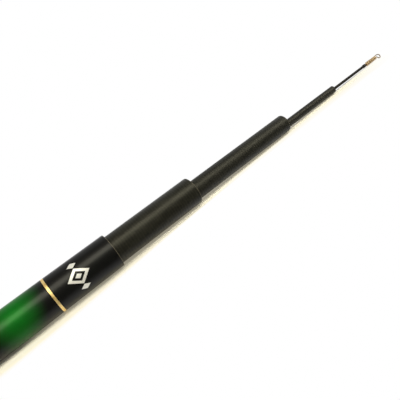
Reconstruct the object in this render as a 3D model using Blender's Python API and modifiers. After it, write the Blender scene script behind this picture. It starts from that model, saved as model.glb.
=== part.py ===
"""Telescopic pole rod with five sections, closed and lying along +X.

The origin is the centre of the butt end's flat face, +X runs towards the tip and +Z is up. Each section is a
tapered tube that slides out of the one before it until its base wedges in that one's mouth. When the rod is
closed, the inner sections stand on a rubber cushion in the screw cap and lie a little low in each other's bores.
"""

import math

import bmesh
import bpy
from mathutils import Matrix, Vector

# Butt section. The flare is how much wider the base is than the mouth
BUTT_LENGTH = 0.9424
BUTT_MOUTH_OD = 0.0210
BUTT_FLARE = 0.0040
BUTT_WALL = 0.0010

# Inner sections. Reach is how far a mouth stands out of the mouth before it when the rod is closed. Fill is the
# share of that mouth's bore that the section's own mouth takes up. Overlap is the length that stays inside when
# the section is pulled out. Sag is the share of its free play that it lies below the middle, at base and mouth
SECTION_2_REACH = 0.0600
SECTION_2_FILL = 0.942
SECTION_2_WALL = 0.00085
SECTION_2_OVERLAP = 0.080
SECTION_2_BASE_SAG = 0.15
SECTION_2_MOUTH_SAG = 0.30

SECTION_3_REACH = 0.0840
SECTION_3_FILL = 0.760
SECTION_3_WALL = 0.00075
SECTION_3_OVERLAP = 0.085
SECTION_3_BASE_SAG = 0.55
SECTION_3_MOUTH_SAG = 0.53

SECTION_4_REACH = 0.0540
SECTION_4_FILL = 0.500
SECTION_4_WALL = 0.00070
SECTION_4_OVERLAP = 0.090
SECTION_4_BASE_SAG = 0.72
SECTION_4_MOUTH_SAG = 0.78

# The tip section is a solid rod
TIP_REACH = 0.0397
TIP_FILL = 0.500
TIP_OVERLAP = 0.090
TIP_BASE_SAG = 0.03
TIP_MOUTH_SAG = 0.20

# Clearance between two sections where they wedge, and the rounding of each tube's ends
WEDGE_CLEARANCE = 0.00008
LIP_RADIUS = 0.00035
BORE_LIP_RADIUS = 0.00012

# Gap of a piece to its seat, and of a glued piece to what it is glued in
SEAT_GAP = 0.0003
GLUE_GAP = 0.0002

# Trim rings, let into the butt blank
TRIM_RING_WIDTH = 0.0016
TRIM_RING_FROM_MOUTH = 0.0386
GRIP_RING_WIDTH = 0.0030
TRIM_GROOVE_DEPTH = 0.00035
TRIM_GAP = 0.0001
TRIM_PROUD = 0.00003

# Grip sleeve, shrunk over the butt blank from its base
GRIP_LENGTH = 0.3400
GRIP_THICKNESS = 0.0008
GRIP_GAP = 0.0001
GRIP_EDGE_RADIUS = 0.0003

# Threaded insert in the butt's base
INSERT_FLANGE = 0.0030
INSERT_DEPTH = 0.0110
INSERT_WALL = 0.00085

# Screw thread, right-handed, with V ridges
THREAD_PITCH = 0.0016
THREAD_HEIGHT = 0.00065
THREAD_CLEARANCE = 0.0003
CAP_THREAD_TURNS = 5.0
INSERT_THREAD_TURNS = 6.0
CAP_TURNS_TO_OPEN = 6.0

# Screw cap
CAP_HEAD_LENGTH = 0.0134
CAP_STEP = 0.0003
CAP_EDGE_RADIUS = 0.0008
CAP_SPIGOT_LENGTH = 0.0130
CAP_SPIGOT_WALL = 0.0017
CAP_FLOOR = 0.0027
CAP_FACE_RIM = 0.0041
CAP_FLUTES = 20
CAP_FLUTE_RADIUS = 0.0012
CAP_FLUTE_DEPTH = 0.0007
CAP_FLUTE_MARGIN = 0.0016

# Seal in the insert's counterbore
O_RING_RADIUS = 0.0008
O_RING_CLEARANCE = 0.0003

# Rubber disc in the cap's outer face, with a ring groove
BUMPER_THICKNESS = 0.0025
BUMPER_PROUD = 0.0006
BUMPER_EDGE_RADIUS = 0.0004
BUMPER_GROOVE_INSET = 0.0033
BUMPER_GROOVE_DEPTH = 0.0005

# Rubber plug in the cap's spigot
CUSHION_STEM = 0.0080
CUSHION_PAD = 0.0027
CUSHION_EDGE_RADIUS = 0.0006
CUSHION_PAD_MARGIN = 0.00045

# End of the tip: it is ground thinner past a shoulder, where the wire coil goes round it
TIP_SHOULDER = 0.00007
COLLAR_LENGTH = 0.0024
COLLAR_WALL = 0.00024
COLLAR_GAP = 0.00006
COLLAR_EDGE_RADIUS = 0.0001
WIRE_DIAMETER = 0.0007
COIL_TURNS = 8.5
COIL_PITCH = 0.0014
COIL_NARROWING = 0.0002
COIL_GAP = 0.00012
COIL_BEND = 0.0012

# The eye lies in a plane that is turned from straight down about the rod's axis. Its wire swells outwards, leans
# back over the axis along its leg, goes round, and returns to the axis
EYE_ROLL = math.radians(150.0)
EYE_SWELL = math.radians(25.0)
EYE_LEAN = math.radians(12.0)
EYE_LEG = 0.0020
EYE_RADIUS = 0.00150
EYE_RETURN = math.radians(55.0)
EYE_BEND_RADIUS = 0.0010

# Fineness of the round shapes
TUBE_SIDES = 32
CORNER_STEPS = 2
RING_STEPS = 10
THREAD_STEPS = 20
FLUTE_SIDES = 10
WIRE_STEP = 0.00030
WIRE_SUBSTEPS = 6
MERGE = 0.000001

FACET_TURN = math.pi / TUBE_SIDES


def clear_scene():
    for obj in list(bpy.data.objects):
        bpy.data.objects.remove(obj, do_unlink=True)


def new_collection(name):
    collection = bpy.data.collections.new(name)
    bpy.context.scene.collection.children.link(collection)
    return collection


def principled(name, colour, roughness, metallic=0.0, coat=0.0):
    material = bpy.data.materials.new(name)
    material.use_nodes = True
    shader = material.node_tree.nodes["Principled BSDF"]
    shader.inputs["Base Color"].default_value = (*colour, 1.0)
    shader.inputs["Roughness"].default_value = roughness
    shader.inputs["Metallic"].default_value = metallic
    shader.inputs["Coat Weight"].default_value = coat
    return material


class Blank:
    """One tapered section: its radii and length, and the line that its axis takes when the rod is closed."""

    def __init__(self, name, base_x, length, base_radius, mouth_radius, wall):
        self.name = name
        self.base_x = base_x
        self.base_z = 0.0
        self.slope = 0.0
        self.length = length
        self.base_radius = base_radius
        self.mouth_radius = mouth_radius
        self.base_bore = base_radius - wall
        self.mouth_bore = mouth_radius - wall
        self.taper = (base_radius - mouth_radius) / length
        self.wedge_depth = 0.0
        self.wedge_bore = self.mouth_bore

    def radius_at(self, height):
        return self.base_radius - self.taper * height

    def bore_at(self, height):
        """Bore radius below the wedge, where the bore takes on the taper of the section inside."""
        wedge_start = self.length - self.wedge_depth
        return self.base_bore + (self.wedge_bore - self.base_bore) * height / wedge_start

    def way(self):
        return Vector((math.cos(self.slope), 0.0, math.sin(self.slope)))


def nested(parent, name, base_x, reach, fill, wall, overlap, base_sag, mouth_sag):
    """The section inside parent, with its base as wide as parent's mouth lets it be when it is pulled out."""
    inside = parent.base_x + parent.length - base_x
    length = inside + reach
    mouth_radius = parent.mouth_bore * fill
    wedge_radius = parent.mouth_bore - WEDGE_CLEARANCE
    share = overlap / length
    base_radius = (wedge_radius - mouth_radius * share) / (1 - share)
    child = Blank(name, base_x, length, base_radius, mouth_radius, wall)
    parent.wedge_depth = overlap
    parent.wedge_bore = parent.mouth_bore + child.taper * overlap

    height = base_x - parent.base_x
    base_drop = (parent.bore_at(height) - base_radius) * base_sag
    mouth_drop = (parent.mouth_bore - child.radius_at(inside)) * mouth_sag
    child.base_z = parent.base_z + parent.slope * height - base_drop
    child.slope = parent.slope - (mouth_drop - base_drop) / inside
    print_slide(parent, child, overlap, base_drop)
    return child


def print_slide(parent, child, overlap, base_drop):
    """The way the section moves, from where it lies closed to the middle of its parent's mouth, and how far."""
    along = parent.way()
    across = Vector((-along.z, 0.0, along.x))
    travel = parent.length - overlap - (child.base_x - parent.base_x)
    lift = base_drop + (parent.slope - child.slope) * overlap / 2
    move = along * travel + across * lift
    axis = move.normalized()
    end = child.base_x + child.length
    print(f"{child.name} slides along {axis.x:.8f} 0 {axis.z:.8f} by {move.length:.6f} m")
    print(f"  diameter {2 * child.base_radius:.5f} to {2 * child.mouth_radius:.5f} m, length {child.length:.4f} m")
    print(f"  mouth at x {end:.4f} m, z {child.base_z + child.slope * child.length:.5f} m")


def rounded(points, radii):
    """An outline with each corner replaced by an arc of its own radius, or kept sharp where that is 0."""
    outline = []
    count = len(points)
    for i, (point, radius) in enumerate(zip(points, radii)):
        corner = Vector(point)
        if radius == 0:
            outline.append(corner)
            continue
        back = (Vector(points[i - 1]) - corner).normalized()
        ahead = (Vector(points[(i + 1) % count]) - corner).normalized()
        half = back.angle(ahead) / 2
        centre = corner + (back + ahead).normalized() * radius / math.sin(half)
        start = corner + back * radius / math.tan(half) - centre
        end = corner + ahead * radius / math.tan(half) - centre
        sweep = start.angle_signed(end)
        for step in range(CORNER_STEPS + 1):
            turn = Matrix.Rotation(-sweep * step / CORNER_STEPS, 2)
            outline.append(centre + turn @ start)
    return outline


def axis_empty(name, x, z, slope):
    """An empty whose Z runs along the rod from (x, 0, z), turned so that a flat of each tube faces down."""
    empty = bpy.data.objects.new(name, None)
    empty.empty_display_size = 0.02
    empty.rotation_mode = "ZYX"
    empty.location = (x, 0.0, z)
    empty.rotation_euler = (0.0, math.pi / 2 - slope, FACET_TURN)
    PARTS.objects.link(empty)
    return empty


def placed(name, data, axis, material, collection):
    obj = bpy.data.objects.new(name, data)
    obj.parent = axis
    if material:
        data.materials.append(material)
    collection.objects.link(obj)
    return obj


def turned(name, outline, axis, material, closed=True):
    """A turned piece: its outline (radius, height) runs down its outer side and is screwed round the axis."""
    edges = [(i, i + 1) for i in range(len(outline) - 1)]
    if closed:
        edges.append((len(outline) - 1, 0))
    mesh = bpy.data.meshes.new(name)
    mesh.from_pydata([(radius, 0.0, height) for radius, height in outline], edges, [])
    obj = placed(name, mesh, axis, material, PARTS)
    screw = obj.modifiers.new("Turn", "SCREW")
    screw.axis = "Z"
    screw.angle = 2 * math.pi
    screw.steps = TUBE_SIDES
    screw.render_steps = TUBE_SIDES
    screw.use_merge_vertices = True
    screw.merge_threshold = MERGE
    screw.use_smooth_shade = True
    return obj


def tube_along(name, points, radius, bevel, axis, material, collection, twist="MINIMUM"):
    """A tube with filled caps along the points, made a mesh with its caps welded to its sides."""
    curve = bpy.data.curves.new(name, "CURVE")
    curve.dimensions = "3D"
    curve.twist_mode = twist
    curve.bevel_depth = radius
    curve.bevel_resolution = bevel
    curve.use_fill_caps = True
    spline = curve.splines.new("POLY")
    spline.points.add(len(points) - 1)
    for slot, point in zip(spline.points, points):
        slot.co = (*point, 1.0)
    guide = placed(name, curve, axis, material, collection)
    bpy.context.view_layer.update()
    graph = bpy.context.evaluated_depsgraph_get()
    mesh = bpy.data.meshes.new_from_object(guide.evaluated_get(graph))
    place = guide.matrix_world.copy()
    bpy.data.objects.remove(guide, do_unlink=True)

    shape = bmesh.new()
    shape.from_mesh(mesh)
    bmesh.ops.remove_doubles(shape, verts=shape.verts, dist=MERGE)
    shape.to_mesh(mesh)
    shape.free()
    mesh.shade_smooth()
    mesh.set_sharp_from_angle(angle=math.radians(75.0))
    obj = bpy.data.objects.new(name, mesh)
    collection.objects.link(obj)
    obj.parent = axis
    obj.matrix_parent_inverse = axis.matrix_world.inverted()
    obj.matrix_basis = place
    return obj


def boolean(obj, other, operation):
    """Cuts obj with other, or joins other to it. The other object stays as a hidden helper."""
    modifier = obj.modifiers.new(operation.title(), "BOOLEAN")
    modifier.operation = operation
    modifier.solver = "EXACT"
    modifier.object = other
    other.hide_render = True
    other.display_type = "WIRE"


def thread_ridge(name, root, start, turns, phase, axis):
    """A right-handed V ridge round Z: a four-sided tube whose middle runs along the root's surface."""
    steps = round(turns * THREAD_STEPS)
    points = []
    for step in range(steps + 1):
        turn = turns * step / steps
        angle = phase + 2 * math.pi * turn
        height = start + THREAD_PITCH * turn
        points.append((root * math.cos(angle), root * math.sin(angle), height))
    return tube_along(name, points, THREAD_HEIGHT, 0, axis, None, CUTTERS, "Z_UP")


def blank_outline(blank, grooves=()):
    """Outline of a tapered tube: down its outer side past the grooves, and up its bore."""
    points = [(blank.mouth_radius, blank.length)]
    for low, high in sorted(grooves, reverse=True):
        top = blank.radius_at(high)
        bottom = blank.radius_at(low)
        points.append((top, high))
        points.append((top - TRIM_GROOVE_DEPTH, high))
        points.append((bottom - TRIM_GROOVE_DEPTH, low))
        points.append((bottom, low))
    radii = [LIP_RADIUS] + [0] * (len(points) - 1)
    points.append((blank.base_radius, 0.0))
    points.append((blank.base_bore, 0.0))
    points.append((blank.wedge_bore, blank.length - blank.wedge_depth))
    points.append((blank.mouth_bore, blank.length))
    radii += [LIP_RADIUS, BORE_LIP_RADIUS, 0, BORE_LIP_RADIUS]
    return rounded(points, radii)


def make_trim_ring(name, butt, low, high, proud, axis, material):
    """A ring that lies in its groove on the butt blank and stands proud of it."""
    floor = TRIM_GAP - TRIM_GROOVE_DEPTH
    top = high - TRIM_GAP
    bottom = low + TRIM_GAP
    outline = [
        (butt.radius_at(top) + proud, top),
        (butt.radius_at(bottom) + proud, bottom),
        (butt.radius_at(bottom) + floor, bottom),
        (butt.radius_at(top) + floor, top),
    ]
    return turned(name, outline, axis, material)


def make_butt(butt, axis):
    lacquer = principled("Green lacquer", (0.03, 0.22, 0.03), 0.3, 0.5, 0.6)
    gold = principled("Gold foil", (0.75, 0.42, 0.12), 0.25, 1.0)
    sleeve_rubber = principled("Grip rubber", (0.02, 0.02, 0.02), 0.7)
    trim_low = butt.length - TRIM_RING_FROM_MOUTH - TRIM_RING_WIDTH / 2
    trim_high = trim_low + TRIM_RING_WIDTH
    ring_low = GRIP_LENGTH + SEAT_GAP
    ring_high = ring_low + GRIP_RING_WIDTH
    grooves = [(trim_low, trim_high), (ring_low, ring_high)]
    turned("butt_blank", blank_outline(butt, grooves), axis, lacquer)
    make_trim_ring("butt_trim_ring", butt, trim_low, trim_high, TRIM_PROUD, axis, gold)
    grip_proud = GRIP_GAP + GRIP_THICKNESS
    make_trim_ring("grip_trim_ring", butt, ring_low, ring_high, grip_proud, axis, gold)
    sleeve = rounded(
        [
            (butt.radius_at(GRIP_LENGTH) + grip_proud, GRIP_LENGTH),
            (butt.base_radius + grip_proud, 0.0),
            (butt.base_radius + GRIP_GAP, 0.0),
            (butt.radius_at(GRIP_LENGTH) + GRIP_GAP, GRIP_LENGTH),
        ],
        [GRIP_EDGE_RADIUS, GRIP_EDGE_RADIUS, 0, 0],
    )
    turned("grip_sleeve", sleeve, axis, sleeve_rubber)


def make_insert(butt, axis, bore, recess_radius, recess_depth):
    """The threaded ring glued in the butt's base. Its flange is flush with the grip and holds the seal's recess."""
    alloy = principled("Insert alloy", (0.55, 0.55, 0.56), 0.35, 0.9)
    tube_radius = bore + INSERT_WALL
    flange_radius = butt.base_radius + GRIP_GAP + GRIP_THICKNESS
    flange_top = -SEAT_GAP
    flange_low = flange_top - INSERT_FLANGE
    recess_floor = flange_low + recess_depth
    outline = rounded(
        [
            (tube_radius, INSERT_DEPTH),
            (tube_radius, flange_top),
            (flange_radius, flange_top),
            (flange_radius, flange_low),
            (recess_radius, flange_low),
            (recess_radius, recess_floor),
            (bore, recess_floor),
            (bore, INSERT_DEPTH),
        ],
        [BORE_LIP_RADIUS, 0, BORE_LIP_RADIUS, LIP_RADIUS, 0, 0, 0, BORE_LIP_RADIUS],
    )
    insert = turned("thread_insert", outline, axis, alloy)
    ridge_start = recess_floor + THREAD_HEIGHT + SEAT_GAP
    ridge = thread_ridge(
        "insert_thread_ridge", bore, ridge_start, INSERT_THREAD_TURNS, 0.0, axis
    )
    boolean(insert, ridge, "UNION")
    return butt.base_x + ridge_start


def flute_cutter(axis, radius, low, high):
    """A ring of rods that cut the finger flutes round the cap's head, with a flat between two of them facing down."""
    shape = bmesh.new()
    for index in range(CAP_FLUTES):
        angle = 2 * math.pi * (index + 0.5) / CAP_FLUTES - FACET_TURN
        rod = bmesh.ops.create_cone(
            shape,
            cap_ends=True,
            segments=FLUTE_SIDES,
            radius1=CAP_FLUTE_RADIUS,
            radius2=CAP_FLUTE_RADIUS,
            depth=high - low,
        )
        distance = radius + CAP_FLUTE_RADIUS - CAP_FLUTE_DEPTH
        place = Vector((math.cos(angle), math.sin(angle), 0.0)) * distance
        place.z = (low + high) / 2
        bmesh.ops.translate(shape, verts=rod["verts"], vec=place)
    mesh = bpy.data.meshes.new("cap_flute_cutter")
    shape.to_mesh(mesh)
    shape.free()
    return placed("cap_flute_cutter", mesh, axis, None, CUTTERS)


def make_cap(axis, radius, spigot, shoulder, ridge_start, ridge_phase):
    """The screw cap: a fluted head with a recess for the bumper, and a hollow threaded spigot."""
    plastic = principled("Cap plastic", (0.015, 0.015, 0.015), 0.35)
    face = BUMPER_PROUD
    end = shoulder + CAP_SPIGOT_LENGTH
    cup = spigot - CAP_SPIGOT_WALL
    recess = radius - CAP_FACE_RIM
    recess_floor = BUMPER_THICKNESS + SEAT_GAP
    cup_floor = recess_floor + CAP_FLOOR
    edge = CAP_EDGE_RADIUS
    small = BORE_LIP_RADIUS
    outline = rounded(
        [
            (0.0, cup_floor),
            (cup, cup_floor),
            (cup, end),
            (spigot, end),
            (spigot, shoulder),
            (radius, shoulder),
            (radius, face),
            (recess, face),
            (recess, recess_floor),
            (0.0, recess_floor),
        ],
        [0, edge, small, small, 0, edge, edge, small, 0, 0],
    )
    cap = turned("butt_cap", outline, axis, plastic, closed=False)
    ridge = thread_ridge(
        "cap_thread_ridge", spigot, ridge_start, CAP_THREAD_TURNS, ridge_phase, axis
    )
    boolean(cap, ridge, "UNION")
    low = face + CAP_FLUTE_MARGIN
    high = shoulder - CAP_FLUTE_MARGIN
    boolean(cap, flute_cutter(axis, radius, low, high), "DIFFERENCE")
    make_bumper(axis, recess - SEAT_GAP)


def make_bumper(axis, radius):
    rubber = principled("Bumper rubber", (0.025, 0.025, 0.025), 0.85)
    groove = radius - BUMPER_GROOVE_INSET
    outline = rounded(
        [
            (0.0, BUMPER_THICKNESS),
            (radius, BUMPER_THICKNESS),
            (radius, 0.0),
            (groove + BUMPER_GROOVE_DEPTH, 0.0),
            (groove, BUMPER_GROOVE_DEPTH),
            (groove - BUMPER_GROOVE_DEPTH, 0.0),
            (0.0, 0.0),
        ],
        [0, 0, BUMPER_EDGE_RADIUS, 0, 0, 0, 0],
    )
    turned("cap_bumper", outline, axis, rubber, closed=False)


def make_cushion(axis, stem_radius, pad_radius, pad_low):
    """The rubber plug whose stem fills the spigot's mouth and whose pad carries the inner sections."""
    rubber = principled("Cushion rubber", (0.03, 0.03, 0.03), 0.8)
    pad_top = pad_low + CUSHION_PAD
    stem_end = pad_low - CUSHION_STEM
    edge = CUSHION_EDGE_RADIUS
    outline = rounded(
        [
            (0.0, pad_top),
            (pad_radius, pad_top),
            (pad_radius, pad_low),
            (stem_radius, pad_low),
            (stem_radius, stem_end),
            (0.0, stem_end),
        ],
        [0, edge, BORE_LIP_RADIUS, 0, edge, 0],
    )
    turned("cap_cushion", outline, axis, rubber, closed=False)


def make_o_ring(axis, centre_radius, centre_height):
    rubber = principled("Seal rubber", (0.02, 0.02, 0.02), 0.6)
    circle = []
    for step in range(RING_STEPS):
        angle = -2 * math.pi * step / RING_STEPS
        radius = centre_radius + O_RING_RADIUS * math.cos(angle)
        circle.append((radius, centre_height + O_RING_RADIUS * math.sin(angle)))
    turned("cap_o_ring", circle, axis, rubber)


class Coil:
    """The wire's centre line while it goes round the tip, followed in small steps from its foot."""

    def __init__(self, foot, back_radius):
        self.foot = foot
        self.back_radius = back_radius
        self.height = foot
        self.angle = 0.0
        self.points = [(self.radius(), 0.0, foot)]

    def radius(self):
        share = (self.height - self.foot) / (COIL_TURNS * COIL_PITCH)
        return self.back_radius - COIL_NARROWING * min(share, 1.0)

    def run(self, length, first, last):
        """Goes on by length. First and last are the shares of the coil's own lead angle, and 0 is along the rod."""
        steps = max(round(length / WIRE_STEP), 1)
        small = length / steps / WIRE_SUBSTEPS
        total = steps * WIRE_SUBSTEPS
        for done in range(total):
            share = first + (last - first) * (done + 0.5) / total
            lead = share * math.atan2(2 * math.pi * self.radius(), COIL_PITCH)
            self.height += small * math.cos(lead)
            self.angle += small * math.sin(lead) / self.radius()
            if (done + 1) % WIRE_SUBSTEPS == 0:
                self.points.append((self.radius(), self.angle, self.height))

    def route(self, last_angle):
        """The points, turned so that the wire leaves the coil at last_angle."""
        turned_by = last_angle - self.angle
        made = []
        for radius, angle, height in self.points:
            around = angle + turned_by
            made.append(Vector((radius * math.cos(around), radius * math.sin(around), height)))
        return made


def eye_points(across, height, end_height):
    """The eye in its plane, as (across, height): out along one leg, round, and back along the rod's axis."""
    heading = 0.0
    points = []

    def run(length, turn):
        nonlocal across, height, heading
        steps = max(round(length / WIRE_STEP), 1)
        for _ in range(steps):
            heading += turn / steps / 2
            across += math.sin(heading) * length / steps
            height += math.cos(heading) * length / steps
            heading += turn / steps / 2
            points.append((across, height))

    run(EYE_BEND_RADIUS * EYE_SWELL, EYE_SWELL)
    inwards = EYE_SWELL + EYE_LEAN
    run(EYE_BEND_RADIUS * inwards, -inwards)
    run(EYE_LEG, 0.0)
    back = math.pi - EYE_LEAN + EYE_RETURN
    run(EYE_RADIUS * back, -back)
    settle = EYE_BEND_RADIUS * (1 - math.cos(EYE_RETURN))
    run((-across - settle) / math.sin(EYE_RETURN), 0.0)
    run(EYE_BEND_RADIUS * EYE_RETURN, EYE_RETURN)
    run(height - end_height, 0.0)
    return points


def least_gap(points):
    """Least gap between the wire's own surfaces, over points that lie a few diameters apart along it."""
    apart = math.ceil(5 * WIRE_DIAMETER / WIRE_STEP)
    least = math.inf
    for i, first in enumerate(points):
        for second in points[i + apart :]:
            least = min(least, (first - second).length)
    return least - WIRE_DIAMETER


def make_tip(tip, axis):
    """The solid tip with its ground end, the collar at the shoulder, and the wire with its coil and eye."""
    black = principled("Tip lacquer", (0.02, 0.018, 0.016), 0.35)
    varnish = principled("Collar varnish", (0.008, 0.008, 0.008), 0.3)
    brass = principled("Brass wire", (0.55, 0.42, 0.24), 0.35, 1.0)
    ground_back = tip.mouth_radius - TIP_SHOULDER
    ground_front = ground_back - COIL_NARROWING
    foot = tip.length + SEAT_GAP
    tip_end = foot + COIL_TURNS * COIL_PITCH
    outline = rounded(
        [
            (0.0, tip_end),
            (ground_front, tip_end),
            (ground_back, tip.length),
            (tip.mouth_radius, tip.length),
            (tip.base_radius, 0.0),
            (0.0, 0.0),
        ],
        [0, BORE_LIP_RADIUS, 0, 0, LIP_RADIUS, 0],
    )
    turned("tip_blank", outline, axis, black, closed=False)

    collar_low = tip.length - COLLAR_LENGTH
    inner = tip.mouth_radius + COLLAR_GAP
    outer = inner + COLLAR_WALL
    collar = rounded(
        [(outer, tip.length), (outer, collar_low), (inner, collar_low), (inner, tip.length)],
        [COLLAR_EDGE_RADIUS, COLLAR_EDGE_RADIUS, 0, 0],
    )
    turned("tip_collar", collar, axis, varnish)

    coil = Coil(foot, ground_back + COIL_GAP + WIRE_DIAMETER / 2)
    coil.run(WIRE_DIAMETER, 0.0, 0.0)
    coil.run(COIL_BEND, 0.0, 1.0)
    mean_radius = coil.back_radius - COIL_NARROWING / 2
    coil.run(COIL_TURNS * math.hypot(2 * math.pi * mean_radius, COIL_PITCH), 1.0, 1.0)
    coil.run(COIL_BEND, 1.0, 0.0)
    roll = EYE_ROLL - FACET_TURN
    route = coil.route(roll)
    for across, height in eye_points(coil.radius(), coil.height, tip_end + SEAT_GAP):
        route.append(Vector((across * math.cos(roll), across * math.sin(roll), height)))
    print(f"tip_coil_eye keeps {1000 * least_gap(route):.3f} mm to itself, on {len(route)} points")
    tube_along("tip_coil_eye", route, WIRE_DIAMETER / 2, 1, axis, brass, PARTS)


def build():
    shoulder = BUMPER_PROUD + CAP_HEAD_LENGTH
    flange_x = shoulder + SEAT_GAP
    butt_x = flange_x + INSERT_FLANGE + SEAT_GAP
    pad_x = shoulder + CAP_SPIGOT_LENGTH + SEAT_GAP
    seat_x = pad_x + CUSHION_PAD + SEAT_GAP

    mouth_radius = BUTT_MOUTH_OD / 2
    base_radius = mouth_radius + BUTT_FLARE / 2
    butt = Blank("butt", butt_x, BUTT_LENGTH, base_radius, mouth_radius, BUTT_WALL)
    section_2 = nested(
        butt,
        "section_2",
        seat_x,
        SECTION_2_REACH,
        SECTION_2_FILL,
        SECTION_2_WALL,
        SECTION_2_OVERLAP,
        SECTION_2_BASE_SAG,
        SECTION_2_MOUTH_SAG,
    )
    section_3 = nested(
        section_2,
        "section_3",
        seat_x,
        SECTION_3_REACH,
        SECTION_3_FILL,
        SECTION_3_WALL,
        SECTION_3_OVERLAP,
        SECTION_3_BASE_SAG,
        SECTION_3_MOUTH_SAG,
    )
    section_4 = nested(
        section_3,
        "section_4",
        seat_x,
        SECTION_4_REACH,
        SECTION_4_FILL,
        SECTION_4_WALL,
        SECTION_4_OVERLAP,
        SECTION_4_BASE_SAG,
        SECTION_4_MOUTH_SAG,
    )
    tip = nested(
        section_4,
        "tip",
        seat_x,
        TIP_REACH,
        TIP_FILL,
        0.0,
        TIP_OVERLAP,
        TIP_BASE_SAG,
        TIP_MOUTH_SAG,
    )

    axes = {
        blank.name: axis_empty(f"{blank.name}_axis", blank.base_x, blank.base_z, blank.slope)
        for blank in (butt, section_2, section_3, section_4, tip)
    }
    cap_axis = axis_empty("cap_axis", 0.0, 0.0, 0.0)
    seal_axis = axis_empty("seal_axis", 0.0, 0.0, 0.0)
    make_butt(butt, axes["butt"])
    colours = (0.030, 0.030, 0.024), (0.028, 0.028, 0.023), (0.026, 0.026, 0.022)
    for blank, colour in zip((section_2, section_3, section_4), colours):
        fibre = principled(f"{blank.name} fibre", colour, 0.55)
        turned(f"{blank.name}_blank", blank_outline(blank), axes[blank.name], fibre)
    make_tip(tip, axes["tip"])

    insert_bore = butt.bore_at(INSERT_DEPTH) - GLUE_GAP - INSERT_WALL
    spigot = insert_bore - THREAD_HEIGHT - THREAD_CLEARANCE
    seal_radius = spigot + O_RING_CLEARANCE + O_RING_RADIUS
    seal_x = shoulder + SEAT_GAP + O_RING_RADIUS
    recess_radius = seal_radius + O_RING_RADIUS + O_RING_CLEARANCE
    recess_depth = 2 * O_RING_RADIUS + O_RING_CLEARANCE
    insert_ridge_x = make_insert(butt, axes["butt"], insert_bore, recess_radius, recess_depth)

    cap_radius = base_radius + GRIP_GAP + GRIP_THICKNESS + CAP_STEP
    cap_ridge_x = seal_x + O_RING_RADIUS + SEAT_GAP + THREAD_HEIGHT
    half_pitch_ahead = cap_ridge_x - insert_ridge_x - THREAD_PITCH / 2
    phase = 2 * math.pi * half_pitch_ahead / THREAD_PITCH
    make_cap(cap_axis, cap_radius, spigot, shoulder, cap_ridge_x, phase)
    stem_radius = spigot - CAP_SPIGOT_WALL - GLUE_GAP
    pad_radius = insert_bore - THREAD_HEIGHT - CUSHION_PAD_MARGIN
    make_cushion(cap_axis, stem_radius, pad_radius, pad_x)
    make_o_ring(seal_axis, seal_radius, seal_x)
    print(f"the cap moves {THREAD_PITCH / (2 * math.pi):.9f} m a radian")
    print(f"  {360 * CAP_TURNS_TO_OPEN:.0f} degrees open it by {THREAD_PITCH * CAP_TURNS_TO_OPEN:.5f} m")


clear_scene()
PARTS = new_collection("Pole rod")
CUTTERS = new_collection("Cutters")
build()
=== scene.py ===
# %% [markdown]
# # A telescopic pole rod, closed
# A pole rod has no reel and no guides. Its sections are tapered tubes that slide out of each other, and the
# line is tied to a small wire eye on the thinnest one. Here the rod is closed and lies on a pale surface.
#
# The solids of the rod are already built at their real size. This lesson loads them as a fixed frame, and
# then turns, bends and paints finer pieces on the same places. A finer piece never moves a solid: it lies
# on the axis of the solid that it stands for.

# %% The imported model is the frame
import math

import bmesh
import bpy
import numpy as np
from mathutils import Matrix, Vector


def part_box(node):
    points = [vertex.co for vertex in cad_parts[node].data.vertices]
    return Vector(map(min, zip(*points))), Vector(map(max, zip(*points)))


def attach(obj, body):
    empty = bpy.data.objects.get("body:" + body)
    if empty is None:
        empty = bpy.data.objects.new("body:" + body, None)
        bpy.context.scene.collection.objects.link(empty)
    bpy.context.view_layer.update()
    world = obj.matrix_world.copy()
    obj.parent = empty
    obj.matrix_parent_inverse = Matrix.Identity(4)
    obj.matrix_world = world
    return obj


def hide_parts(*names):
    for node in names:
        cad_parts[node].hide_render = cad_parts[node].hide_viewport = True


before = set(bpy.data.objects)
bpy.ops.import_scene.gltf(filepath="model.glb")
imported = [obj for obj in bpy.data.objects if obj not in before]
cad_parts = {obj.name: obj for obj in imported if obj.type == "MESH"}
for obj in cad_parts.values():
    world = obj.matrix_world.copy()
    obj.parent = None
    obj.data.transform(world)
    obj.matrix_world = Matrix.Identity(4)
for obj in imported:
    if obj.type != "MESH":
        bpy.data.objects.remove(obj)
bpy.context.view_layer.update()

MM = 0.001

# %% [markdown]
# ## The camera
# The rod is seen from behind its butt mouth, from the left and a little above, and runs away to the upper
# right. The camera is about a hand's length from what it looks at, which is why the four mouths look so
# unlike in width. The roll tips the picture, as a hand-held camera does.

# %% Camera
CAMERA_PLACE = Vector((0.93188, -0.20630, 0.10775))
CAMERA_AIM = Vector((1.00462, -0.03938, 0.01356))
CAMERA_ROLL = math.radians(-26.318)
CAMERA_LENS = 36.271


def placed(name, data):
    """A new object with that data, in the scene and at its origin."""
    made = bpy.data.objects.new(name, data)
    bpy.context.scene.collection.objects.link(made)
    return made


camera = placed("camera", bpy.data.cameras.new("camera"))
camera.data.lens = CAMERA_LENS
camera.data.sensor_width = 36.0
camera.data.clip_start = 0.01
camera.location = CAMERA_PLACE
facing = (CAMERA_AIM - CAMERA_PLACE).to_track_quat("-Z", "Y").to_matrix()
camera.rotation_euler = (facing @ Matrix.Rotation(CAMERA_ROLL, 3, "Z")).to_euler()
bpy.context.scene.camera = camera
bpy.context.scene.view_settings.view_transform = "Standard"
print("camera is", round((CAMERA_AIM - CAMERA_PLACE).length, 3), "m from what it looks at")

# %% [markdown]
# ## Where each tube lies
# Each tube lies a little low and a little tilted in the one outside it, because it is thinner than that
# one's mouth. A new piece is turned round X first, and is then laid on the axis of its solid. The axis runs
# from the middle of the solid's first ring of corners to the middle of its last one, and the radii are the
# distances of the corners from that line.

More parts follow.
